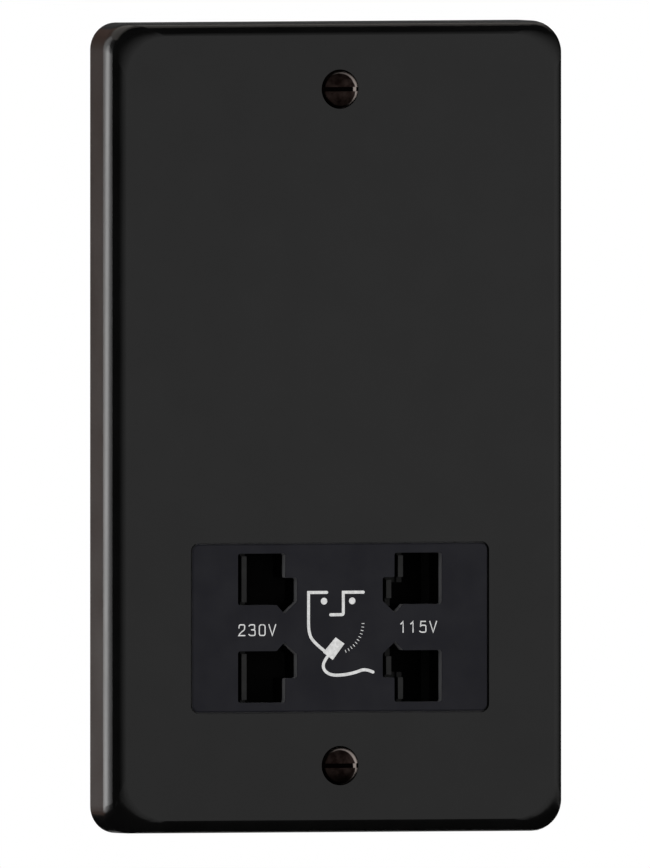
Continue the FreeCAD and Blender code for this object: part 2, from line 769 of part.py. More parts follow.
def tapping_screw(head_y, tip_y, radius, head_radius):
    """A pan-head screw on the Y axis. The head's underside is at head_y, the tip points to tip_y."""
    way = 1 if tip_y > head_y else -1
    top = head_y - way * SCREW_HEAD_HEIGHT
    head = rod(head_radius, 0, min(head_y, top), max(head_y, top), 0)
    rim = SCREW_HEAD_HEIGHT / 3
    head = fillet_edges(head, rim, lambda edge: lies_at(edge, top))
    slot_bottom = top + way * SCREW_HEAD_HEIGHT / 2
    slot = box(
        -head_radius, head_radius, min(top, slot_bottom), max(top, slot_bottom),
        -SCREW_SLOT / 2, SCREW_SLOT / 2,
    )
    shank = rod(radius, 0, min(head_y, tip_y), max(head_y, tip_y), 0)
    return head.cut(slot).fuse(shank)


def carrier_screws():
    """Four screws from the carrier's shoulders into the bosses of the insert."""
    screw = tapping_screw(floor_back, guide_front + SCREW_TIP_WALL, SCREW_RADIUS, SCREW_HEAD_RADIUS)
    places = corner_places(boss_x, boss_z, insert_z)
    return Part.makeCompound([screw.translated(vec(x, 0, z)) for x, z in places])


# The case is deep behind the transformer and steps in behind the contacts
case_inner_top = fixing_z - CASE_FIXING_ROOM - CASE_WALL
case_inner_bottom = insert_z - carrier_half_height - CASE_SIDE_ROOM
step_z = insert_z + carrier_half_height + CASE_STEP_ROOM

# Standard EI proportions: legs and windows are a sixth of the width, and the height is five
# sixths. The core is the largest one that the case has room for, and stays at the case's top.
core_room_top = case_inner_top - CASE_TOP_ROOM
core_room_bottom = step_z + CORE_STEP_ROOM
core_unit = min((case_inner_half - CORE_SIDE_ROOM) / 3, (core_room_top - core_room_bottom) / 5)
core_half_width = 3 * core_unit
core_top = core_room_top
core_bottom = core_top - 5 * core_unit
core_centre_z = core_top - 2.5 * core_unit
window_bottom = core_bottom + core_unit
window_top = core_top - core_unit
coil_half_x = 2 * core_unit - BOBBIN_FIT
coil_half_y = CORE_STACK / 2 + core_unit - BOBBIN_FIT
core_centre_y = panel_back + COIL_FRONT_ROOM + coil_half_y
coil_back = core_centre_y + coil_half_y
stack_front = core_centre_y - CORE_STACK / 2
stack_back = core_centre_y + CORE_STACK / 2
core_hole_x = core_half_width - core_unit / 2
core_hole_low = core_bottom + core_unit / 2
core_hole_high = core_top - core_unit / 2


def core_holes():
    return [(side * core_hole_x, z) for side in (-1, 1) for z in (core_hole_low, core_hole_high)]


def drill_core(stack):
    for x, z in core_holes():
        stack = stack.cut(rod(CORE_HOLE_RADIUS, x, stack_front - 1, stack_back + 1, z))
    return stack


def core_e_laminations():
    half = core_half_width
    stack = box(-half, half, stack_front, stack_back, core_bottom, window_top)
    for side in (-1, 1):
        x0, x1 = sorted((side * core_unit, side * 2 * core_unit))
        stack = stack.cut(box(x0, x1, stack_front - 1, stack_back + 1, window_bottom, window_top + 1))
    return drill_core(stack)


def core_i_laminations():
    half = core_half_width
    return drill_core(box(-half, half, stack_front, stack_back, window_top, core_top))


def ring_plate(inner_x, inner_y, outer_x, outer_y, corner, z0, z1):
    """A rectangular ring round the core's middle leg, between two heights."""
    def rounded_block(half_x, half_y, radius):
        block = box(-half_x, half_x, core_centre_y - half_y, core_centre_y + half_y, z0, z1)
        if radius > 0:
            block = fillet_edges(block, radius, lambda edge: runs_along(edge, vec(0, 0, 1)))
        return block
    return rounded_block(outer_x, outer_y, corner).cut(rounded_block(inner_x, inner_y, 0))


leg_half_x = core_unit + BOBBIN_FIT
leg_half_y = CORE_STACK / 2 + BOBBIN_FIT
tube_half_x = leg_half_x + BOBBIN_WALL
tube_half_y = leg_half_y + BOBBIN_WALL
bobbin_bottom = window_bottom + BOBBIN_FIT
bobbin_top = window_top - BOBBIN_FIT


def bobbin():
    """The split former: a tube round the middle leg with two ends and a wall between windings."""
    tube = ring_plate(leg_half_x, leg_half_y, tube_half_x, tube_half_y, 0, bobbin_bottom, bobbin_top)
    flange_levels = [
        bobbin_bottom,
        core_centre_z - BOBBIN_WALL / 2,
        bobbin_top - BOBBIN_WALL,
    ]
    for level in flange_levels:
        flange = ring_plate(
            leg_half_x, leg_half_y, coil_half_x, coil_half_y, BOBBIN_CORNER, level, level + BOBBIN_WALL
        )
        tube = tube.fuse(flange)
    return tube


def winding(z0, z1):
    return ring_plate(
        tube_half_x, tube_half_y, coil_half_x - WINDING_INSET, coil_half_y - WINDING_INSET,
        WINDING_CORNER, z0, z1,
    )


primary_bottom = bobbin_bottom + BOBBIN_WALL
primary_top = core_centre_z - BOBBIN_WALL / 2


def primary_winding():
    return winding(primary_bottom, primary_top)


def secondary_winding():
    return winding(core_centre_z + BOBBIN_WALL / 2, bobbin_top - BOBBIN_WALL)


def thermal_cutout():
    """The self-resetting cut-out taped to the back of the primary winding."""
    back = coil_back - WINDING_INSET
    body = box(
        -CUTOUT_WIDTH / 2, CUTOUT_WIDTH / 2, back, back + CUTOUT_THICKNESS,
        primary_bottom + CUTOUT_END_ROOM, primary_top - CUTOUT_END_ROOM,
    )
    return fillet_edges(body, CUTOUT_THICKNESS / 4, lambda edge: runs_along(edge, vec(1, 0, 0)))


# Depths of the case: the cut-out touches the hump's back, the core's screws hold in the shoulders
# and the contacts' tails clear the step
case_inner_back = coil_back - WINDING_INSET + CUTOUT_THICKNESS
shoulder_inner_back = stack_back + PILLAR_LENGTH
pillar_back = shoulder_inner_back + CASE_WALL / 2
step_inner_back = pocket_back + CONTACT_TAIL + TAIL_ROOM
step_back = step_inner_back + CASE_WALL


def ear_places():
    high = case_inner_top + CASE_WALL - EAR_END_DISTANCE
    low = case_inner_bottom - CASE_WALL + EAR_END_DISTANCE
    return [(side * ear_x, z) for side in (-1, 1) for z in (low, high)]


def stepped_block(half_width, grow, front, corner):
    """A block with the case's stepped side profile, grown outwards by the wall."""
    top = case_inner_top + grow
    bottom = case_inner_bottom - grow
    step = step_z - grow
    deep = shoulder_inner_back + grow
    shallow = step_inner_back + grow
    profile = [
        vec(-half_width, front, bottom),
        vec(-half_width, shallow, bottom),
        vec(-half_width, shallow, step),
        vec(-half_width, deep, step),
        vec(-half_width, deep, top),
        vec(-half_width, front, top),
        vec(-half_width, front, bottom),
    ]
    block = Part.Face(Part.makePolygon(profile)).extrude(vec(2 * half_width, 0, 0))
    return fillet_edges(block, corner, lambda edge: edge.BoundBox.YMax > front + 1)


def coil_hump(grow, front, corner):
    """The hump over the windings, grown outwards by the wall."""
    half_width = coil_half_x + HUMP_ROOM + grow
    block = box(
        -half_width, half_width, front, case_inner_back + grow,
        bobbin_bottom - HUMP_ROOM - grow, bobbin_top + HUMP_ROOM + grow,
    )
    return fillet_edges(block, corner, lambda edge: edge.BoundBox.YMax > front + 1)


def rear_case():
    outer = stepped_block(case_half_width, CASE_WALL, panel_back, CASE_CORNER)
    outer = outer.fuse(coil_hump(CASE_WALL, shoulder_inner_back, CASE_CORNER))
    inner = stepped_block(case_inner_half, 0, panel_back - 1, CASE_INNER_CORNER)
    body = outer.cut(inner)
    for x, z in core_holes():
        body = body.fuse(rod(PILLAR_RADIUS, x, stack_back, pillar_back, z))
    body = body.cut(coil_hump(0, stack_back, CASE_INNER_CORNER))
    for x, z in core_holes():
        body = body.cut(rod(CORE_SCREW_RADIUS + SCREW_CLEARANCE, x, stack_back - 1, pillar_back, z))
    ear_back = panel_back + EAR_THICKNESS
    for x, z in ear_places():
        inner_x = math.copysign(case_half_width - CASE_WALL / 2, x)
        x0, x1 = sorted((inner_x, x))
        ear = rod(EAR_RADIUS, x, panel_back, ear_back, z)
        ear = ear.fuse(box(x0, x1, panel_back, ear_back, z - EAR_RADIUS, z + EAR_RADIUS))
        body = body.fuse(ear)
        body = body.cut(rod(SCREW_RADIUS + SCREW_CLEARANCE, x, panel_back - 1, ear_back + 1, z))
    return body


def case_screws():
    ear_back = panel_back + EAR_THICKNESS
    screw = tapping_screw(ear_back, sheet_back + 2 * SCREW_TIP_WALL, SCREW_RADIUS, SCREW_HEAD_RADIUS)
    return Part.makeCompound([screw.translated(vec(x, 0, z)) for x, z in ear_places()])


def core_screws():
    """Four screws through the core's corner holes into the pillars of the case."""
    tip = pillar_back - SCREW_TIP_WALL
    screw = tapping_screw(stack_front, tip, CORE_SCREW_RADIUS, CORE_SCREW_HEAD_RADIUS)
    return Part.makeCompound([screw.translated(vec(x, 0, z)) for x, z in core_holes()])


terminal_half_width = TERMINAL_PITCH * TERMINAL_WAYS / 2 + TERMINAL_SIDE / 2
terminal_z = insert_z
terminal_back = step_back + TERMINAL_DEPTH
clamp_front = step_back + CABLE_RADIUS
cable_y = clamp_front + CLAMP_DEPTH / 2 - CABLE_RADIUS / 2
clamp_back = clamp_front + CLAMP_DEPTH


def terminal_places():
    middle = (TERMINAL_WAYS - 1) / 2
    return [(way - middle) * TERMINAL_PITCH for way in range(TERMINAL_WAYS)]


def supply_terminals():
    """The moulded terminal block: a pocket for each clamp, screws from behind, cable from below."""
    z0 = terminal_z - TERMINAL_HEIGHT / 2
    z1 = terminal_z + TERMINAL_HEIGHT / 2
    body = box(-terminal_half_width, terminal_half_width, step_back, terminal_back, z0, z1)
    body = fillet_edges(body, TERMINAL_SIDE / 4, lambda edge: edge.BoundBox.YMin > step_back + 1)
    half_width = CLAMP_WIDTH / 2 + CLAMP_FIT
    half_height = CLAMP_HEIGHT / 2 + CLAMP_FIT
    for x in terminal_places():
        body = body.cut(
            box(
                x - half_width, x + half_width, clamp_front, clamp_back + CLAMP_FIT,
                terminal_z - half_height, terminal_z + half_height,
            )
        )
        body = body.cut(rod(CLAMP_SCREW_HEAD + CLAMP_FIT, x, clamp_back, terminal_back + 1, terminal_z))
        entry = Part.makeCylinder(
            ENTRY_RADIUS, TERMINAL_HEIGHT / 2 + 1, vec(x, cable_y, terminal_z), vec(0, 0, -1)
        )
        body = body.cut(entry)
    return body


def terminal_clamps():
    """Brass clamps with a bore for the cable and a threaded hole for the screw."""
    clamps = []
    for x in terminal_places():
        block = box(
            x - CLAMP_WIDTH / 2, x + CLAMP_WIDTH / 2, clamp_front, clamp_back,
            terminal_z - CLAMP_HEIGHT / 2, terminal_z + CLAMP_HEIGHT / 2,
        )
        bore = Part.makeCylinder(
            CABLE_RADIUS, CLAMP_HEIGHT + 2, vec(x, cable_y, terminal_z - CLAMP_HEIGHT / 2 - 1)
        )
        thread = rod(CLAMP_SCREW_RADIUS + SCREW_CLEARANCE, x, cable_y, clamp_back + 1, terminal_z)
        clamps.append(block.cut(bore).cut(thread))
    return Part.makeCompound(clamps)


def terminal_screws():
    """Clamping screws, backed off clear of the cable bores."""
    tip = cable_y + CABLE_RADIUS + 2 * SCREW_CLEARANCE
    screws = []
    for x in terminal_places():
        head_y = clamp_back + CLAMP_SCREW_STAND - SCREW_HEAD_HEIGHT
        screw = tapping_screw(head_y, tip, CLAMP_SCREW_RADIUS, CLAMP_SCREW_HEAD)
        screws.append(screw.translated(vec(x, 0, terminal_z)))
    return Part.makeCompound(screws)


# The earth terminal stands between the frame's skirt and the case, below the upper right ear
earth_z = case_inner_top + CASE_WALL - EAR_END_DISTANCE - EARTH_EAR_DISTANCE
earth_back = panel_back + EARTH_DEPTH
earth_screw_tip = panel_back + EARTH_DEPTH / 2


def earth_tongue(grow):
    """The part of the earth terminal that passes through the frame to touch the plate."""
    half = EARTH_TONGUE / 2 + grow
    return box(ear_x - half, ear_x + half, sheet_back, panel_back, earth_z - half, earth_z + half)


def earth_terminal():
    block = box(
        ear_x - EARTH_WIDTH / 2, ear_x + EARTH_WIDTH / 2, panel_back, earth_back,
        earth_z - EARTH_HEIGHT / 2, earth_z + EARTH_HEIGHT / 2,
    )
    block = block.fuse(earth_tongue(0))
    thread = rod(SCREW_RADIUS + SCREW_CLEARANCE, ear_x, earth_screw_tip - 1, earth_back + 1, earth_z)
    return block.cut(thread)


def earth_screw():
    screw = tapping_screw(earth_back, earth_screw_tip, SCREW_RADIUS, SCREW_HEAD_RADIUS)
    return screw.translated(vec(ear_x, 0, earth_z))


def build():
    os.makedirs("parts", exist_ok=True)
    export("front_plate", front_plate())
    export("fixing_screws", fixing_screws())
    export("socket_face", socket_face())
    export("pin_guide", pin_guide())
    export("mounting_frame", mounting_frame())
    export("contact_carrier", contact_carrier())
    export("contact_cover", contact_cover())
    export("carrier_screws", carrier_screws())
    for side, voltage in ((-1, "230"), (1, "115")):
        export("shutter_" + voltage, shutter(side))
        export("shutter_spring_" + voltage, shutter_spring(side))
        export("bridge_contact_" + voltage, bridge_contact(side))
        export("switch_contacts_" + voltage, switch_contacts(side))
        for level, word in ((1, "upper"), (-1, "lower")):
            export("contact_" + voltage + "_" + word, contact(side, level))
    export("core_e_laminations", core_e_laminations())
    export("core_i_laminations", core_i_laminations())
    export("bobbin", bobbin())
    export("primary_winding", primary_winding())
    export("secondary_winding", secondary_winding())
    export("thermal_cutout", thermal_cutout())
    export("core_screws", core_screws())
    export("rear_case", rear_case())
    export("case_screws", case_screws())
    export("supply_terminals", supply_terminals())
    export("terminal_clamps", terminal_clamps())
    export("terminal_screws", terminal_screws())
    export("earth_terminal", earth_terminal())
    export("earth_screw", earth_screw())


build()
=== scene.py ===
import math

import bmesh
import bpy
from mathutils import Matrix, Vector


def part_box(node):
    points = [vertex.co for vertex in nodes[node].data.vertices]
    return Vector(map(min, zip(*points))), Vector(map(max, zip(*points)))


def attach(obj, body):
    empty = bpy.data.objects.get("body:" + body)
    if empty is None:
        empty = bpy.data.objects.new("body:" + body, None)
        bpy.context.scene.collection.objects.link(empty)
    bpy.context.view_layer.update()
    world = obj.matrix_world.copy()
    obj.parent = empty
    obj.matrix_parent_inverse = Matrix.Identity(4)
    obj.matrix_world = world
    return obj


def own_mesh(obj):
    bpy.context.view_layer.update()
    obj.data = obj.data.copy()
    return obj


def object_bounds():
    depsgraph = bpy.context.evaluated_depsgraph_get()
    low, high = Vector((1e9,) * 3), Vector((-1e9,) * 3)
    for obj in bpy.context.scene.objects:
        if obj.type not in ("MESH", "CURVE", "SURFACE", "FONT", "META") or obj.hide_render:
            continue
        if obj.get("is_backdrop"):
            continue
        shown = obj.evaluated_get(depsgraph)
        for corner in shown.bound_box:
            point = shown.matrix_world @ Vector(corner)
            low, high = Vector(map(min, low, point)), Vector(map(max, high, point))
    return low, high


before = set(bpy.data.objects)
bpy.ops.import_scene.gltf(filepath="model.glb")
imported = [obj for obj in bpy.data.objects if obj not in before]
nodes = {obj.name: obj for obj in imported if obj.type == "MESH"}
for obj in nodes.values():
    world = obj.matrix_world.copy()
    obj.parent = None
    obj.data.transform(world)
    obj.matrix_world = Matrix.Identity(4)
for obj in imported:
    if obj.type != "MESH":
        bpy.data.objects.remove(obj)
cad_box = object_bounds()


# The view: about 21 degrees round to the left of the plate and a little above it, without
# perspective, as in the photograph. A millimetre takes 5.61 pixels of the 650 x 868 picture.
MM = 0.001
VIEW_SIDE = math.radians(21.16)
VIEW_DOWN = math.radians(1.0)
VIEW_DISTANCE = 3.0
PIXELS_HIGH = 868
PIXELS_PER_MM = 5.61
AIM_RIGHT = 1.58 * MM
AIM_UP = -1.37 * MM

plate_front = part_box("front_plate")[0].y
forward = Vector((
    math.sin(VIEW_SIDE) * math.cos(VIEW_DOWN),
    math.cos(VIEW_SIDE) * math.cos(VIEW_DOWN),
    -math.sin(VIEW_DOWN),
))
right = Vector((math.cos(VIEW_SIDE), -math.sin(VIEW_SIDE), 0))
up = right.cross(forward)
facing = Matrix((right, up, -forward)).transposed().to_4x4()
aim = right * AIM_RIGHT + up * AIM_UP + forward * (plate_front * forward.y)
camera_data = bpy.data.cameras.new("camera")
camera_data.type = "ORTHO"
camera_data.ortho_scale = PIXELS_HIGH / PIXELS_PER_MM * MM
camera = bpy.data.objects.new("camera", camera_data)
camera.matrix_world = Matrix.Translation(aim - forward * VIEW_DISTANCE) @ facing
bpy.context.collection.objects.link(camera)
bpy.context.scene.camera = camera
bpy.context.scene.view_settings.view_transform = "Standard"


# The studio's light: a white world, which the camera, glass and polished surfaces see as white
# paper and which lights matt ones evenly. Two soft boxes add a little shape from the front, and a
# narrow strip behind the left edge draws the bright line along it. Sizes and places are in metres.
AMBIENT = 0.95
BOX_SIDE = 0.9
KEY_RADIANCE = 0.4
FILL_RADIANCE = 0.35
STRIP_WIDTH = 0.12
STRIP_HEIGHT = 1.1
STRIP_RADIANCE = 2.45


def add(tree, kind, inputs=None, **settings):
    """Adds a node with its settings. An input's value may be another node's output."""
    node = tree.nodes.new(kind)
    for name, value in settings.items():
        setattr(node, name, value)
    for name, value in (inputs or {}).items():
        if isinstance(value, bpy.types.NodeSocket):
            tree.links.new(value, node.inputs[name])
        else:
            node.inputs[name].default_value = value
    return node


world = bpy.data.worlds.new("white_studio")
bpy.context.scene.world = world
world.use_nodes = True
sky = world.node_tree
sky.nodes.clear()
ray = add(sky, "ShaderNodeLightPath")
camera_or_glass = add(sky, "ShaderNodeMath", {
    0: ray.outputs["Is Camera Ray"], 1: ray.outputs["Is Transmission Ray"],
}, operation="MAXIMUM")
white = add(sky, "ShaderNodeMath", {
    0: camera_or_glass.outputs[0], 1: ray.outputs["Is Glossy Ray"],
}, operation="MAXIMUM")
strength = add(sky, "ShaderNodeMath", {0: white.outputs[0], 1: AMBIENT}, operation="MAXIMUM")
glow = add(sky, "ShaderNodeBackground", {"Color": (1, 1, 1, 1), "Strength": strength.outputs[0]})
add(sky, "ShaderNodeOutputWorld", {"Surface": glow.outputs[0]})


def softbox(name, place, width, height, radiance, mirrored=False):
    """A rectangular lamp that faces the middle of the plate."""
    lamp = bpy.data.lights.new(name, "AREA")
    lamp.shape = "RECTANGLE"
    lamp.size = width
    lamp.size_y = height
    lamp.energy = radiance * math.pi * width * height
    holder = bpy.data.objects.new(name, lamp)
    holder.location = place
    holder.rotation_euler = (-Vector(place)).to_track_quat("-Z", "Z").to_euler()
    holder.visible_glossy = mirrored
    holder.visible_camera = False
    bpy.context.collection.objects.link(holder)


softbox("key_softbox_right", (0.75, -0.95, 0.75), BOX_SIDE, BOX_SIDE, KEY_RADIANCE)
softbox("fill_softbox_left", (-1.1, -0.55, 0.05), BOX_SIDE, BOX_SIDE, FILL_RADIANCE)
softbox("rim_strip_left", (-0.59, 0.93, 0.0), STRIP_WIDTH, STRIP_HEIGHT, STRIP_RADIANCE, mirrored=True)


# The cards: black cloth at the sides, above and below, and brown, charcoal and grey card behind.
# Only polished surfaces show them, so they give the black plate its dark edges and the tint of its
# side without a shadow on anything. Places are in metres.
CARD_AT_SIDE = 0.6
CARD_LENGTH = 1.6
CLOTH_COLOUR = "#0d0d0d"


def srgb(code):
    """An sRGB hex colour as the linear one that a node takes."""
    parts = [int(code[i:i + 2], 16) / 255 for i in (1, 3, 5)]
    linear = [c / 12.92 if c <= 0.04045 else ((c + 0.055) / 1.055) ** 2.4 for c in parts]
    return (*linear, 1.0)


def card_stock(name, colour):
    """A card's matt surface."""
    stock = bpy.data.materials.new(name)
    stock.use_nodes = True
    stock.node_tree.nodes.clear()
    pulp = add(stock.node_tree, "ShaderNodeBsdfDiffuse", {"Color": srgb(colour)})
    add(stock.node_tree, "ShaderNodeOutputMaterial", {"Surface": pulp.outputs[0]})
    return stock


def card(name, corners, stock, faces=((0, 1, 2, 3),)):
    """A card that only polished surfaces show."""
    mesh = bpy.data.meshes.new(name)
    mesh.from_pydata(corners, [], faces)
    mesh.materials.append(stock)
    sheet = bpy.data.objects.new(name, mesh)
    sheet.visible_camera = False
    sheet.visible_diffuse = False
    sheet.visible_shadow = False
    bpy.context.collection.objects.link(sheet)
    sheet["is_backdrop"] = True


black_cloth = card_stock("black_cloth", CLOTH_COLOUR)
brown_card = card_stock("brown_card", "#7f6960")
charcoal_card = card_stock("charcoal_card", "#555555")
grey_card = card_stock("grey_card", "#c4bfba")

# Upright cards, each from one point of the floor plan to another
for name, start, finish, stock in (
    ("flag_left", (-CARD_AT_SIDE, -0.15), (-CARD_AT_SIDE, 0.72), black_cloth),
    ("flag_right", (CARD_AT_SIDE, 0.22), (CARD_AT_SIDE, 0.9), black_cloth),
    ("card_behind_left", (-0.5, 0.98), (0.0, 1.15), brown_card),
    ("card_behind_right", (0.0, 1.15), (1.0, 1.1), charcoal_card),
):
    half = CARD_LENGTH / 2
    card(name, [(*start, -half), (*finish, -half), (*finish, half), (*start, half)], stock)

# Level cards, each with its height, front and back
for name, z, front, back, stock in (
    ("flag_above", 0.55, -0.6, 0.05, black_cloth),
    ("card_above", 0.55, 0.05, 0.78, grey_card),
    ("flag_below", -0.25, -0.8, 0.75, black_cloth),
):
    half = CARD_LENGTH / 2
    card(name, [(-half, front, z), (half, front, z), (half, back, z), (-half, back, z)], stock)


# A graded scrim stands round the front: clear ahead of the plate, and black far to the left, to the
# right and above and below, so that the rolled edges darken softly. The angles are from straight
# ahead, positive to the left, and the heights are shares of its radius.
SCRIM_RADIUS = 1.3
SCRIM_HIGH = 1.1
SCRIM_STEPS = 48
SCRIM_FROM = math.radians(100)
SCRIM_TO = math.radians(-116)
SCRIM_LEFT = (math.radians(59), math.radians(-41))
SCRIM_RIGHT = (math.radians(-112), math.radians(-38))
SCRIM_UP = (0.7, -0.2)

scrim_cloth = bpy.data.materials.new("scrim_cloth")
scrim_cloth.use_nodes = True
tree = scrim_cloth.node_tree
tree.nodes.clear()
spot = add(tree, "ShaderNodeSeparateXYZ", {0: add(tree, "ShaderNodeTexCoord").outputs["Object"]})
leftward = add(tree, "ShaderNodeMath", {0: spot.outputs["X"], 1: -1.0}, operation="MULTIPLY")
ahead = add(tree, "ShaderNodeMath", {0: spot.outputs["Y"], 1: -1.0}, operation="MULTIPLY")
turn = add(tree, "ShaderNodeMath", {0: leftward.outputs[0], 1: ahead.outputs[0]}, operation="ARCTAN2")
height = add(tree, "ShaderNodeMath", {0: spot.outputs["Z"]}, operation="ABSOLUTE")
rise = add(tree, "ShaderNodeMath", {0: height.outputs[0], 1: SCRIM_RADIUS}, operation="DIVIDE")
clear = None
for measure, (black, open_air) in ((turn, SCRIM_LEFT), (turn, SCRIM_RIGHT), (rise, SCRIM_UP)):
    fade = add(tree, "ShaderNodeMapRange", {
        "Value": measure.outputs[0], "From Min": black, "From Max": open_air,
    }, interpolation_type="SMOOTHSTEP")
    if clear is None:
        clear = fade.outputs["Result"]
    else:
        both = add(tree, "ShaderNodeMath", {0: clear, 1: fade.outputs["Result"]}, operation="MULTIPLY")
        clear = both.outputs[0]
cloth = add(tree, "ShaderNodeBsdfDiffuse", {"Color": srgb(CLOTH_COLOUR)})
gap = add(tree, "ShaderNodeBsdfTransparent")
gauze = add(tree, "ShaderNodeMixShader", {0: clear, 1: cloth.outputs[0], 2: gap.outputs[0]})
add(tree, "ShaderNodeOutputMaterial", {"Surface": gauze.outputs[0]})

scrim_corners = []
for step in range(SCRIM_STEPS + 1):
    angle = SCRIM_FROM + (SCRIM_TO - SCRIM_FROM) * step / SCRIM_STEPS
    x = -SCRIM_RADIUS * math.sin(angle)
    y = -SCRIM_RADIUS * math.cos(angle)
    for end in (-1, 1):
        scrim_corners.append((x, y, end * SCRIM_HIGH * SCRIM_RADIUS))
scrim_panels = [(2 * i, 2 * i + 2, 2 * i + 3, 2 * i + 1) for i in range(SCRIM_STEPS)]
card("graded_scrim", scrim_corners, scrim_cloth, scrim_panels)


# The floor: a pale painted board, well below the plate, which hangs at a wall's height. The paint
# is matt and hardly clouded.
FLOOR_DROP = 0.25
FLOOR_HALF = 1.5
CLOUD_EDGES = (0.35, 0.65)


def per_metre(size_mm):
    """Repeats in a metre of a pattern whose real size is given in millimetres."""
    return 1000.0 / size_mm


def new_material(name, roughness, metallic=0.0, specular=0.5):
    """A material with a Principled shader. Returns it with its tree, shader and coordinates."""
    material = bpy.data.materials.new(name)
    material.use_nodes = True
    tree = material.node_tree
    tree.nodes.clear()
    shader = add(tree, "ShaderNodeBsdfPrincipled", {
        "Roughness": roughness, "Metallic": metallic, "Specular IOR Level": specular,
    })
    add(tree, "ShaderNodeOutputMaterial", {"Surface": shader.outputs[0]})
    place = add(tree, "ShaderNodeTexCoord").outputs["Object"]
    return material, tree, shader, place


def mottle(tree, shader, place, size_mm, dark, light, detail=3.0):
    """Clouds the base colour between two near shades."""
    cloud = add(tree, "ShaderNodeTexNoise", {
        "Vector": place, "Scale": per_metre(size_mm), "Detail": detail,
    })
    ramp = add(tree, "ShaderNodeValToRGB", {"Fac": cloud.outputs["Fac"]})
    for stop, edge, colour in zip(ramp.color_ramp.elements, CLOUD_EDGES, (dark, light)):
        stop.position = edge
        stop.color = srgb(colour)
    tree.links.new(ramp.outputs["Color"], shader.inputs["Base Color"])
    return ramp


floor_z = cad_box[0].z - FLOOR_DROP
floor_corners = [(x * FLOOR_HALF, y * FLOOR_HALF, floor_z) for x, y in ((-1, -1), (1, -1), (1, 1), (-1, 1))]
floor_mesh = bpy.data.meshes.new("floor")
floor_mesh.from_pydata(floor_corners, [], [(0, 1, 2, 3)])
floor = bpy.data.objects.new("floor", floor_mesh)
bpy.context.collection.objects.link(floor)
floor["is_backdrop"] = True
painted_board, tree, shader, place = new_material("painted_board", 0.8, specular=0.2)
mottle(tree, shader, place, 60, "#dcdcda", "#e2e2e0")
floor_mesh.materials.append(painted_board)


# Front plate: pressed steel sheet, drawn over a tool so that its edges roll back to the wall. It
# is powder coated in satin black: an even skin, smooth enough to mirror the studio softly, with a
# grain that only just breaks the reflections.
GLOSS_EDGES = (0.3, 0.7)


def wear_roughness(tree, shader, place, size_mm, low, high):
    """Slow changes of gloss over the surface."""
    cloud = add(tree, "ShaderNodeTexNoise", {"Vector": place, "Scale": per_metre(size_mm), "Detail": 2.0})
    spread = add(tree, "ShaderNodeMapRange", {
        "Value": cloud.outputs["Fac"], "From Min": GLOSS_EDGES[0], "From Max": GLOSS_EDGES[1],
        "To Min": low, "To Max": high,
    })
    tree.links.new(spread.outputs["Result"], shader.inputs["Roughness"])


def grain(tree, shader, place, size_mm, height_mm, detail=2.0):
    """A cast or moulded surface's grain as bump, with its real size and height."""
    noise = add(tree, "ShaderNodeTexNoise", {
        "Vector": place, "Scale": per_metre(size_mm), "Detail": detail,
    })
    bump = add(tree, "ShaderNodeBump", {"Height": noise.outputs["Fac"], "Distance": height_mm * MM})
    tree.links.new(bump.outputs["Normal"], shader.inputs["Normal"])


def dress(node, material):
    """Gives a node of the model its material."""
    mesh = nodes[node].data
    mesh.materials.clear()
    mesh.materials.append(material)


satin_powder_coat, tree, shader, place = new_material("satin_powder_coat", 0.16, specular=0.38)
mottle(tree, shader, place, 9, "#070707", "#0a0a0a")
wear_roughness(tree, shader, place, 14, 0.15, 0.18)
grain(tree, shader, place, 0.5, 0.001)
dress("front_plate", satin_powder_coat)


# Fixing screws: two M3.5 raised countersunk screws, turned from steel and plated dark bronze.
# The crown stays nearly black, and the floor of the slot is painted near-black as shade. A painted
# highlight stands for the glint of the light from the upper right: a bright crescent with ragged edges on
# the upper right of the rim. Millimetres.
# The painted highlight's ring: its radii, the shift of its centre, and the size and reach of the noise on
# its edges
GLINT_FROM = 2.95
GLINT_TO = 3.15
GLINT_SHIFT_RIGHT = -0.36
GLINT_SHIFT_UP = -0.22
GLINT_EDGE_SIZE = 0.9
GLINT_EDGE_REACH = 0.12
SLOT_HALF = 0.42
# Depth behind the head's front from which the slot's floor is painted near-black as shade
SLOT_PAINTED_SHADE_FROM = 0.75

bronze_painted_glint, tree, shader, place = new_material("bronze_plating_painted_glint", 0.3, metallic=1.0)
crown = mottle(tree, shader, place, 1.1, "#1d1513", "#352b28")
across = add(tree, "ShaderNodeSeparateXYZ", {0: place})

# The heads are round, so a screw's centre is half a width in from the upper or the lower end
screw_low, screw_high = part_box("fixing_screws")
centre_z = (screw_high.z - screw_low.z) / 2 - (screw_high.x - screw_low.x) / 2
upper_or_lower = add(tree, "ShaderNodeMath", {0: across.outputs["Z"]}, operation="SIGN")
head_z = add(tree, "ShaderNodeMath", {0: upper_or_lower.outputs[0], 1: centre_z}, operation="MULTIPLY")
above_centre = add(tree, "ShaderNodeMath", {
    0: across.outputs["Z"], 1: head_z.outputs[0],
}, operation="SUBTRACT")
radial = add(tree, "ShaderNodeCombineXYZ", {"X": across.outputs["X"], "Y": above_centre.outputs[0]})
# Painted highlight: the distance from a centre shifted to the lower left, so that only the upper right of
# the rim is far enough out to turn bright
off_centre = add(tree, "ShaderNodeVectorMath", {
    0: radial.outputs[0], 1: (GLINT_SHIFT_RIGHT * MM, GLINT_SHIFT_UP * MM, 0.0),
}, operation="SUBTRACT")
radius = add(tree, "ShaderNodeVectorMath", {0: off_centre.outputs[0]}, operation="LENGTH")
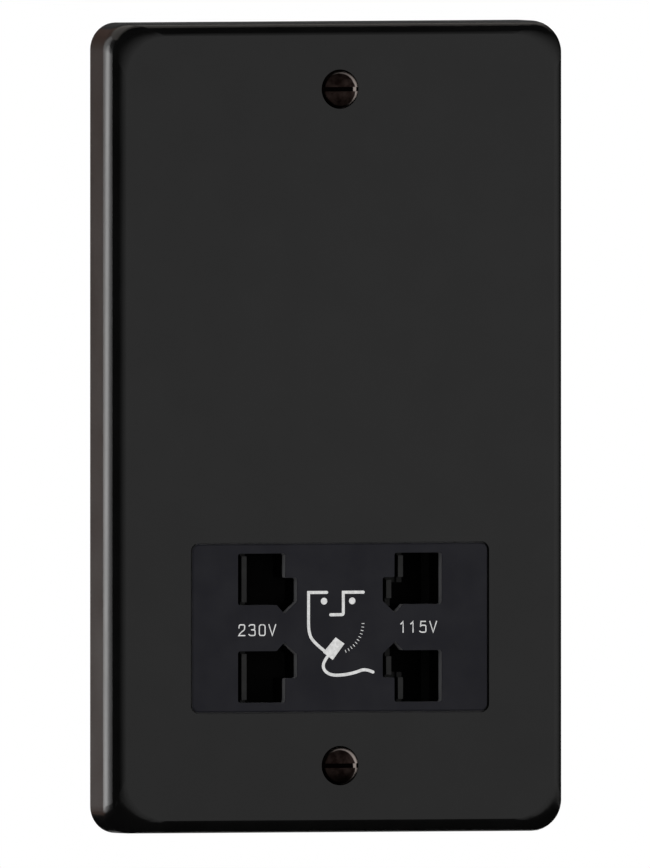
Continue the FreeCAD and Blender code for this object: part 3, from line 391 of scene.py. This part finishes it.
# Noise makes the edges of the painted highlight ragged
glint_edge_noise = add(tree, "ShaderNodeTexNoise", {"Vector": place, "Scale": per_metre(GLINT_EDGE_SIZE), "Detail": 3.0})
glint_edge_wobble = add(tree, "ShaderNodeMapRange", {
    "Value": glint_edge_noise.outputs["Fac"], "To Min": -GLINT_EDGE_REACH * MM, "To Max": GLINT_EDGE_REACH * MM,
})
glint_radius = add(tree, "ShaderNodeMath", {
    0: radius.outputs["Value"], 1: glint_edge_wobble.outputs["Result"],
}, operation="ADD")
painted_glint = add(tree, "ShaderNodeMapRange", {
    "Value": glint_radius.outputs[0], "From Min": GLINT_FROM * MM, "From Max": GLINT_TO * MM,
}, interpolation_type="SMOOTHSTEP")

# Painted shade: the floor of the slot, from a set depth behind the head's front, turns near-black
deep = add(tree, "ShaderNodeMath", {
    0: across.outputs["Y"], 1: screw_low.y + SLOT_PAINTED_SHADE_FROM * MM,
}, operation="GREATER_THAN")
from_slot = add(tree, "ShaderNodeMath", {0: above_centre.outputs[0]}, operation="ABSOLUTE")
in_slot = add(tree, "ShaderNodeMath", {0: from_slot.outputs[0], 1: SLOT_HALF * MM}, operation="LESS_THAN")
slot_painted_shade = add(tree, "ShaderNodeMath", {0: deep.outputs[0], 1: in_slot.outputs[0]}, operation="MULTIPLY")
# The crown's colour, with the painted shade of the slot's floor mixed in
plated = add(tree, "ShaderNodeMix", {
    0: slot_painted_shade.outputs[0], 6: crown.outputs["Color"], 7: srgb("#060404"),
}, data_type="RGBA")
# Mixes in the bright metal colour of the painted highlight
shade = add(tree, "ShaderNodeMix", {
    0: painted_glint.outputs["Result"], 6: plated.outputs[2], 7: srgb("#b4a8a2"),
}, data_type="RGBA")
tree.links.new(shade.outputs[2], shader.inputs["Base Color"])
grain(tree, shader, place, 0.25, 0.003)
dress("fixing_screws", bronze_painted_glint)


# Insert: a compression moulding in black urea, with a finely spark-eroded face and a soft gloss. The faint
# blue of its base colour is a painted reflection of a bluish light. It sits flush in the plate's window.
# The walls of the apertures are painted paler, as light falling on them. Millimetres behind the face.
WALL_PAINTED_LIGHT_FROM = 0.12
WALL_PAINTED_LIGHT_TO = 0.3


def paint_light_and_shade_by_depth(tree, shader, place, ramp, front, depths, colour):
    """Paints light or shade by depth: changes the base colour to another one between two depths behind a
    front, in millimetres.
    """
    depth = add(tree, "ShaderNodeSeparateXYZ", {0: place})
    share = add(tree, "ShaderNodeMapRange", {
        "Value": depth.outputs["Y"], "From Min": front + depths[0] * MM, "From Max": front + depths[1] * MM,
    })
    shade = add(tree, "ShaderNodeMix", {
        0: share.outputs["Result"], 6: ramp.outputs["Color"], 7: srgb(colour),
    }, data_type="RGBA")
    tree.links.new(shade.outputs[2], shader.inputs["Base Color"])


black_urea, tree, shader, place = new_material("black_urea", 0.42, specular=0.15)
# The faint blue in these shades is a painted reflection of a bluish light
face_shades = mottle(tree, shader, place, 6, "#1b1b21", "#202025")
# Painted light: the walls of the apertures turn pale grey from just behind the face
paint_light_and_shade_by_depth(tree, shader, place, face_shades, plate_front, (WALL_PAINTED_LIGHT_FROM, WALL_PAINTED_LIGHT_TO), "#5a5a5c")
grain(tree, shader, place, 0.18, 0.004)
dress("socket_face", black_urea)


# Printed marks: the two voltages and the shaver pictogram, pad-printed in white ink on the
# insert's face. The film of ink is a few hundredths of a millimetre thick. It is drawn flat, in
# millimetres with x to the right and y up, and then laid on the face.
INK_THICKNESS = 0.03
INK_SINK = 0.01
INK_LAP = 0.00001
BEND_STEPS = 6
CAP_STEPS = 6
SPOT_STEPS = 24
SAME_POINT = 0.01
SHARPEST_MITRE = 0.5

white_ink, tree, shader, place = new_material("white_ink", 0.5, specular=0.3)
mottle(tree, shader, place, 0.5, "#cfcfcf", "#e6e6e6")
grain(tree, shader, place, 0.2, 0.002)


def bend(points):
    """A smooth line that starts and ends on the points' ends. A point given twice is a corner."""
    ends = [Vector(point) for point in points]
    line = [ends[0]]
    for before, corner, after in zip(ends[:-2], ends[1:-1], ends[2:]):
        start = ends[0] if before is ends[0] else (before + corner) / 2
        finish = ends[-1] if after is ends[-1] else (corner + after) / 2
        if corner in (before, after):
            line.append(finish)
            continue
        for step in range(1, BEND_STEPS + 1):
            t = step / BEND_STEPS
            line.append(start * (1 - t) ** 2 + corner * 2 * t * (1 - t) + finish * t ** 2)
    kept = [line[0]]
    for point in line[1:]:
        if (point - kept[-1]).length > SAME_POINT:
            kept.append(point)
    return kept


def side_points(line, half):
    """The left and right edges of a line of the given half width, mitred at its corners."""
    steps = [(b - a).normalized() for a, b in zip(line[:-1], line[1:])]
    left, right = [], []
    for point, behind, ahead in zip(line, steps[:1] + steps, steps + steps[-1:]):
        along = (ahead + behind).normalized()
        out = Vector((-along.y, along.x)) * (half / max(along.dot(ahead), SHARPEST_MITRE))
        left.append(point + out)
        right.append(point - out)
    return left, right


def round_end(centre, start):
    """The points of a round end, half a turn on from the start point."""
    arm = start - centre
    turns = [-math.pi * step / CAP_STEPS for step in range(1, CAP_STEPS)]
    return [centre + Matrix.Rotation(turn, 2) @ arm for turn in turns]


def add_shape(ink, outline, panels=None):
    """Adds a flat shape with the ink's thickness. Panels divide it, as lists of outline points.
    Each shape is a hair thicker than the last, so that no two overlap at one height."""
    top = INK_THICKNESS + INK_LAP * len(ink.faces)
    low = [ink.verts.new((point.x, point.y, 0)) for point in outline]
    high = [ink.verts.new((point.x, point.y, top)) for point in outline]
    count = len(outline)
    for panel in panels or [range(count)]:
        ink.faces.new([low[i] for i in panel])
        ink.faces.new([high[i] for i in panel])
    for i in range(count):
        j = (i + 1) % count
        ink.faces.new((low[i], low[j], high[j], high[i]))


def add_line(ink, points, width):
    """Adds a line with round ends, divided into one panel for each step and one for each end."""
    line = [Vector(point) for point in points]
    left, right = side_points(line, width / 2)
    outline = left + round_end(line[-1], left[-1]) + right[::-1] + round_end(line[0], right[0])
    steps = len(line)
    far = steps + CAP_STEPS - 1
    last = far + steps - 1
    panels = [(i, i + 1, last - i - 1, last - i) for i in range(steps - 1)]
    panels.append(range(steps - 1, far + 1))
    panels.append([*range(last, len(outline)), 0])
    add_shape(ink, outline, panels)


def add_spot(ink, x, y, radius):
    """Adds a round spot."""
    turns = [math.tau * i / SPOT_STEPS for i in range(SPOT_STEPS)]
    add_shape(ink, [Vector((x + radius * math.cos(t), y + radius * math.sin(t))) for t in turns])


def print_on_face(name, ink, shift=0.0):
    """Lays a print on the insert's face as a piece of its own."""
    for vertex in ink.verts:
        x, z, out = vertex.co
        vertex.co = Vector(((x + shift) * MM, plate_front + (INK_SINK - out) * MM, z * MM))
    bmesh.ops.recalc_face_normals(ink, faces=ink.faces)
    mesh = bpy.data.meshes.new(name)
    ink.to_mesh(mesh)
    ink.free()
    mesh.materials.append(white_ink)
    piece = bpy.data.objects.new(name, mesh)
    bpy.context.collection.objects.link(piece)
    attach(piece, "supply_unit")


# The voltages, in plain capitals and figures. Each is drawn with one or two lines, as if it were
# 2.2 mm high, and is then made a little narrower and lower.
LETTER_WIDTH = 0.21
LETTER_NARROW = 0.86
LETTER_LOW = 0.87
LETTER_PITCH = {"1": 1.9, "2": 1.95, "3": 1.95, "0": 1.9, "5": 1.95, "V": 1.5}
LETTER_STROKES = {
    "1": [[(0.25, 1.7), (0.62, 2.0), (0.75, 2.2), (0.75, 2.2), (0.75, 0.0)]],
    "2": [[(0.1, 1.55), (0.1, 2.2), (0.72, 2.2), (1.35, 2.2), (1.35, 1.6), (1.3, 1.15), (0.45, 0.6),
           (0.05, 0.0), (0.05, 0.0), (1.4, 0.0)]],
    "3": [[(0.06, 1.95), (0.3, 2.2), (0.7, 2.2), (1.3, 2.2), (1.3, 1.65), (1.3, 1.17), (0.6, 1.17)],
          [(0.6, 1.17), (1.4, 1.17), (1.4, 0.6), (1.4, 0.0), (0.7, 0.0), (0.3, 0.0), (0.03, 0.22)]],
    "5": [[(1.3, 2.2), (0.3, 2.2), (0.3, 2.2), (0.2, 1.22), (0.2, 1.22), (0.45, 1.42), (0.8, 1.42),
           (1.4, 1.42), (1.4, 0.7), (1.4, 0.0), (0.7, 0.0), (0.3, 0.0), (0.03, 0.2)]],
    "0": [[(0.72, 2.2), (1.36, 2.2), (1.36, 1.1), (1.36, 0.0), (0.72, 0.0), (0.08, 0.0), (0.08, 1.1),
           (0.08, 2.2), (0.66, 2.2)]],
    "V": [[(0.0, 2.2), (0.75, 0.0), (0.75, 0.0), (1.5, 2.2)]],
}

for name, words, left, baseline in (
    ("printed_230V", "230V", -19.4, -37.0),
    ("printed_115V", "115V", 11.4, -36.6),
):
    ink = bmesh.new()
    for letter in words:
        for stroke in LETTER_STROKES[letter]:
            line = [(left + x * LETTER_NARROW, baseline + y * LETTER_LOW) for x, y in bend(stroke)]
            add_line(ink, line, LETTER_WIDTH)
        left += LETTER_PITCH[letter]
    print_on_face(name, ink)

# The pictogram: brow and cheek in one line, brow and nose in another, two eyes, and the shaver with
# its cord
PICTOGRAM_SHIFT = -0.3
LINE_WIDTH = 0.55
BROW_Y = -29.4
CHEEK = [(-2.25, BROW_Y), (-5.72, BROW_Y), (-5.72, BROW_Y), (-5.72, -33.4), (-5.72, -36.4),
         (-4.9, -38.2), (-2.6, -39.9)]
NOSE = [(4.75, BROW_Y), (0.92, BROW_Y), (0.92, BROW_Y), (0.92, -32.7), (0.92, -33.38), (0.2, -33.38),
        (-1.5, -33.4)]
CORD = [(-2.15, -40.9), (-3.0, -42.0), (-2.8, -43.3), (-1.5, -44.15), (0.6, -44.2),
        (3.2, -43.75), (5.1, -43.0), (6.6, -43.65)]
SHAVER_CORNERS = [(-0.55, -37.43), (1.14, -38.56), (-1.1, -41.45), (-2.95, -40.12)]
EYES = [(-2.76, -30.96), (2.62, -30.94)]
EYE_RADIUS = 0.61

pictogram = bmesh.new()
for points in (CHEEK, NOSE, CORD):
    add_line(pictogram, bend(points), LINE_WIDTH)
for eye_x, eye_y in EYES:
    add_spot(pictogram, eye_x, eye_y, EYE_RADIUS)
add_shape(pictogram, [Vector(corner) for corner in SHAVER_CORNERS])

# The stubble ahead of the shaver: one hair, which a node tree repeats round the jaw, each a touch
# thicker than the last, like the print's other shapes
HAIR_WIDTH = 0.12
HAIR_LENGTH = 0.42

hair = bmesh.new()
add_line(hair, [(-HAIR_LENGTH / 2, 0), (HAIR_LENGTH / 2, 0)], HAIR_WIDTH)
STUBBLE = {
    "Hairs": 11,
    "First Turn": math.radians(-66),
    "Turn Between": math.radians(6.4),
    "Jaw Radius": 5.6,
    "Jaw Centre": (-0.9, -34.8, 0.0),
    "First Rise": 1 + INK_LAP * len(pictogram.faces) / INK_THICKNESS,
    "Rise Between": INK_LAP * len(hair.faces) / INK_THICKNESS,
}
hair_mesh = bpy.data.meshes.new("hair")
hair.to_mesh(hair_mesh)
hair.free()
hair_holder = bpy.data.objects.new("hair", hair_mesh)
bpy.context.collection.objects.link(hair_holder)

tree = bpy.data.node_groups.new("hairs_round_jaw", "GeometryNodeTree")
for name, kind in (
    ("Hair", "Geometry"), ("Hairs", "Int"), ("First Turn", "Float"), ("Turn Between", "Float"),
    ("Jaw Radius", "Float"), ("Jaw Centre", "Vector"), ("First Rise", "Float"), ("Rise Between", "Float"),
):
    tree.interface.new_socket(name, in_out="INPUT", socket_type="NodeSocket" + kind)
tree.interface.new_socket("Stubble", in_out="OUTPUT", socket_type="NodeSocketGeometry")
given = add(tree, "NodeGroupInput").outputs
index = add(tree, "GeometryNodeInputIndex").outputs[0]
turn = add(tree, "ShaderNodeMath", {
    0: index, 1: given["Turn Between"], 2: given["First Turn"],
}, operation="MULTIPLY_ADD")
turned = add(tree, "ShaderNodeCombineXYZ", {"Z": turn.outputs[0]})
rise = add(tree, "ShaderNodeMath", {
    0: index, 1: given["Rise Between"], 2: given["First Rise"],
}, operation="MULTIPLY_ADD")
size = add(tree, "ShaderNodeCombineXYZ", {"X": 1.0, "Y": 1.0, "Z": rise.outputs[0]})
reach = add(tree, "ShaderNodeCombineXYZ", {"X": given["Jaw Radius"]})
level = add(tree, "ShaderNodeVectorMath", {0: given["Jaw Centre"], 1: reach.outputs[0]}, operation="ADD")
middle = add(tree, "ShaderNodeVectorRotate", {
    "Vector": level.outputs[0], "Center": given["Jaw Centre"], "Angle": turn.outputs[0],
}, rotation_type="Z_AXIS")
middles = add(tree, "GeometryNodePoints", {"Count": given["Hairs"], "Position": middle.outputs[0]})
copies = add(tree, "GeometryNodeInstanceOnPoints", {
    "Points": middles.outputs[0], "Instance": given["Hair"], "Rotation": turned.outputs[0],
    "Scale": size.outputs[0],
})
solid = add(tree, "GeometryNodeRealizeInstances", {"Geometry": copies.outputs[0]})
inked = add(tree, "GeometryNodeSetMaterial", {"Geometry": solid.outputs[0], "Material": white_ink})
add(tree, "NodeGroupOutput", {"Stubble": inked.outputs[0]})

layout = hair_holder.modifiers.new("hairs_round_jaw", "NODES")
layout.node_group = tree
for item in tree.interface.items_tree:
    if item.name in STUBBLE:
        layout[item.identifier] = STUBBLE[item.name]
bpy.context.view_layer.update()
grown = hair_holder.evaluated_get(bpy.context.evaluated_depsgraph_get())
stubble_mesh = bpy.data.meshes.new_from_object(grown)
pictogram.from_mesh(stubble_mesh)
bpy.data.objects.remove(hair_holder)
bpy.data.meshes.remove(hair_mesh)
bpy.data.meshes.remove(stubble_mesh)
print_on_face("printed_pictogram", pictogram, PICTOGRAM_SHIFT)


# Guide: a black nylon moulding behind the insert, whose ribs stand a little back in the apertures. Its
# colour is painted near-black within half a millimetre of depth, as shade in the apertures. The shutters
# behind it are black acetal, smoother and nearly without a shine.
GUIDE_PAINTED_SHADE = (0.1, 0.4)

black_nylon, tree, shader, place = new_material("black_nylon", 0.5, specular=0.25)
rib_shades = mottle(tree, shader, place, 2, "#1e1e1e", "#242424")
# Painted shade: the guide turns near-black from 0.1 to 0.4 mm behind its front
paint_light_and_shade_by_depth(tree, shader, place, rib_shades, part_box("pin_guide")[0].y, GUIDE_PAINTED_SHADE, "#060606")
grain(tree, shader, place, 0.15, 0.004)
dress("pin_guide", black_nylon)

black_acetal, tree, shader, place = new_material("black_acetal", 0.6, specular=0.06)
mottle(tree, shader, place, 3, "#050505", "#080808")
grain(tree, shader, place, 0.3, 0.002)
for voltage in ("230", "115"):
    dress("shutter_" + voltage, black_acetal)


# Mounting frame, contact carrier and cover: black glass-filled polyester mouldings. The glass
# shows as a dull surface with pale, short flow marks.
glass_filled_polyester, tree, shader, place = new_material("glass_filled_polyester", 0.55)
mottle(tree, shader, place, 4, "#1b1b1b", "#242423", detail=6.0)
grain(tree, shader, place, 0.35, 0.012, detail=4.0)
for node in ("mounting_frame", "contact_carrier", "contact_cover"):
    dress(node, glass_filled_polyester)


# Rear case: an off-white urea-glass moulding with a fine eroded texture. The terminal block on it
# is a tougher, glossier nylon, and screws plated with zinc hold the case, the carrier and the core.
ivory_case, tree, shader, place = new_material("ivory_case_moulding", 0.5)
mottle(tree, shader, place, 12, "#d9d6cd", "#dfdcd4")
grain(tree, shader, place, 0.4, 0.015, detail=4.0)
dress("rear_case", ivory_case)

terminal_nylon, tree, shader, place = new_material("terminal_nylon", 0.4)
mottle(tree, shader, place, 5, "#e0ddd5", "#e8e5de")
grain(tree, shader, place, 0.25, 0.005)
dress("supply_terminals", terminal_nylon)

zinc_plating, tree, shader, place = new_material("zinc_plating", 0.32, metallic=1.0)
mottle(tree, shader, place, 1.5, "#b4b7b8", "#c6c8c7")
wear_roughness(tree, shader, place, 0.8, 0.25, 0.42)
for node in ("case_screws", "carrier_screws", "core_screws"):
    dress(node, zinc_plating)


# Terminals: clamps, screws and the earth post are turned and drilled brass, with a thin brown
# tarnish in patches.
drilled_brass, tree, shader, place = new_material("drilled_brass", 0.3, metallic=1.0)
mottle(tree, shader, place, 3, "#b8964f", "#cdb06a", detail=5.0)
wear_roughness(tree, shader, place, 1.0, 0.24, 0.4)
for node in ("terminal_clamps", "terminal_screws", "earth_terminal", "earth_screw"):
    dress(node, drilled_brass)


# Contacts and switch: strip and rivets of phosphor bronze, stamped and a little browned, with the
# fine grain of the rolls.
phosphor_bronze, tree, shader, place = new_material("phosphor_bronze", 0.3, metallic=1.0)
mottle(tree, shader, place, 4, "#b5794f", "#c48c60")
grain(tree, shader, place, 0.12, 0.002)
for voltage in ("230", "115"):
    for node in ("bridge_contact_" + voltage, "switch_contacts_" + voltage):
        dress(node, phosphor_bronze)
    for end in ("_upper", "_lower"):
        dress("contact_" + voltage + end, phosphor_bronze)


spring_wire, tree, shader, place = new_material("bright_spring_wire", 0.2, metallic=1.0)
mottle(tree, shader, place, 1.5, "#b9babd", "#cfd0d2")
for voltage in ("230", "115"):
    spring = "shutter_spring_" + voltage
    dress(spring, spring_wire)
    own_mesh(nodes[spring])


# Transformer core: a stack of silicon steel laminations half a millimetre thick, dipped in
# brown varnish. The joints between the sheets show as fine lines.
LAMINATION = 0.5
JOINT_DEPTH = 0.03
WAVE_TURN = 20


def band_scale(size_mm):
    """A wave texture's scale for bands of a real size. It turns 20 radians for a unit of scale."""
    return per_metre(size_mm) * math.tau / WAVE_TURN


varnished_laminations, tree, shader, place = new_material("varnished_laminations", 0.35, metallic=0.7)
mottle(tree, shader, place, 6, "#3c3532", "#4d4541")
sheets = add(tree, "ShaderNodeTexWave", {
    "Vector": place, "Scale": band_scale(LAMINATION),
}, wave_type="BANDS", bands_direction="Y", wave_profile="SIN")
edge = add(tree, "ShaderNodeBump", {"Height": sheets.outputs["Fac"], "Distance": JOINT_DEPTH * MM})
tree.links.new(edge.outputs["Normal"], shader.inputs["Normal"])
for node in ("core_e_laminations", "core_i_laminations"):
    dress(node, varnished_laminations)


# Bobbin and windings: natural glass-filled nylon, wound with enamelled copper wire. The turns
# lie side by side round the leg, so their ridges run level.
WIRE = 0.4

natural_nylon, tree, shader, place = new_material("natural_nylon", 0.45)
mottle(tree, shader, place, 5, "#cfc7b2", "#ddd5c2")
grain(tree, shader, place, 0.3, 0.004)
dress("bobbin", natural_nylon)

enamelled_wire, tree, shader, place = new_material("enamelled_copper_wire", 0.3, metallic=0.85)
mottle(tree, shader, place, 2, "#8a3f22", "#a5502c")
turns = add(tree, "ShaderNodeTexWave", {
    "Vector": place, "Scale": band_scale(WIRE), "Distortion": 0.3,
}, wave_type="BANDS", bands_direction="Z", wave_profile="SIN")
ridge = add(tree, "ShaderNodeBump", {
    "Height": turns.outputs["Fac"], "Distance": WIRE / 2 * MM, "Strength": 0.8,
})
tree.links.new(ridge.outputs["Normal"], shader.inputs["Normal"])
for node in ("primary_winding", "secondary_winding"):
    dress(node, enamelled_wire)


# Thermal cut-out: a small case of black phenolic, taped to the back of the primary winding. It is
# compression moulded, which gives a dull gloss and brown clouds.
phenolic, tree, shader, place = new_material("black_phenolic", 0.35)
mottle(tree, shader, place, 3, "#141210", "#1b1815")
grain(tree, shader, place, 0.3, 0.003)
dress("thermal_cutout", phenolic)


boxes = {"cad": cad_box, "visual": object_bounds()}
words = ", ".join('"%s": %s' % (name, [list(corner) for corner in box]) for name, box in boxes.items())
